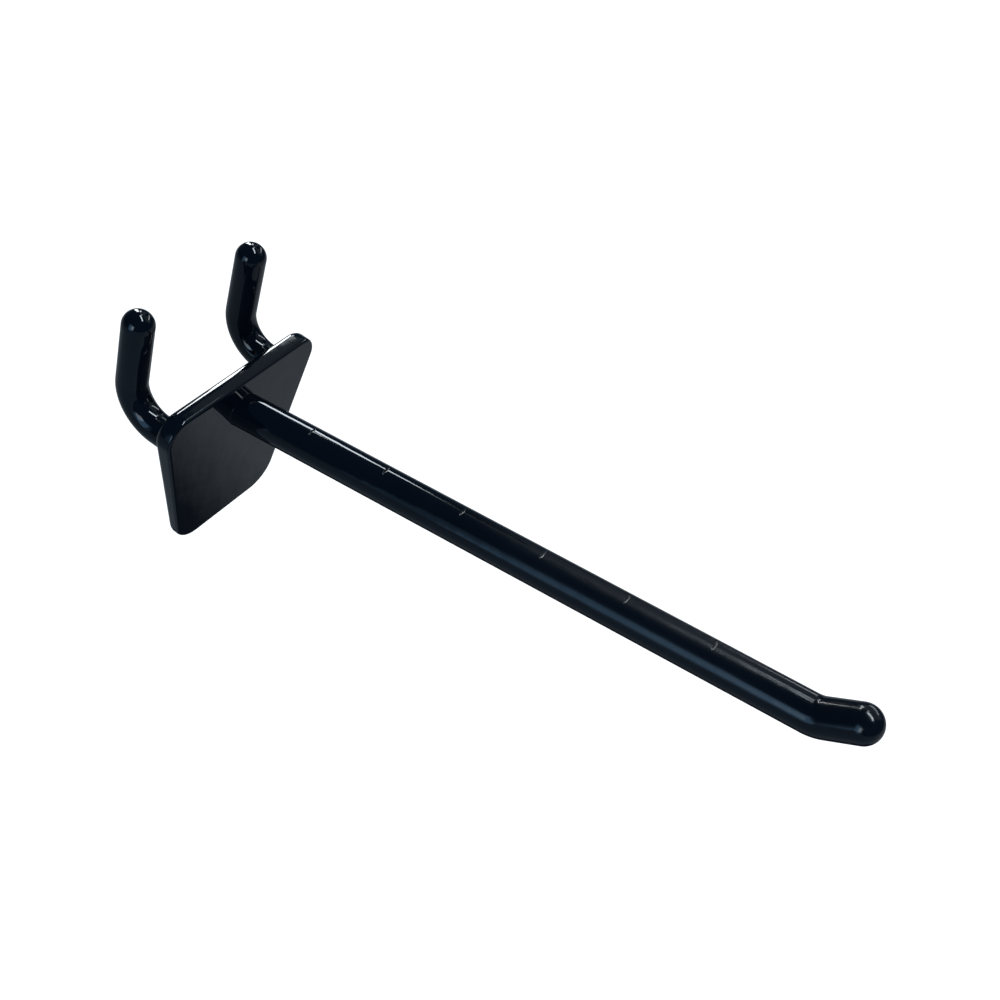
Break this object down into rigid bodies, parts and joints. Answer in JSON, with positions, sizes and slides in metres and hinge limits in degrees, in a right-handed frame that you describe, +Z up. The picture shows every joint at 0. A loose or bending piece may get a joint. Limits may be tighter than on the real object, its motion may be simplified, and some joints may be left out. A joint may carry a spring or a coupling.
{
  "type": "pegboard hook",
  "caption": "Moulded pegboard hook: bent pegs hold a tapered plate against the board, and a long round arm with shallow notches on top carries goods up to its turned-up tip.",
  "frame": {"origin": "on the plate's back face, midway between the two pegs' axes", "axes": "+Y into the board, out of the back face and along the pegs' legs; X along the board's row of holes; +Z up; the arm reaches out along -Y"},
  "size_m": [0.0348, 0.1251, 0.0478],
  "materials": {
    "hook_plastic": "glossy black with a faint blue cast"
  },
  "bodies": {
    "root": {"pegboard_hook": "hook_plastic"}
  },
  "joints": []
}
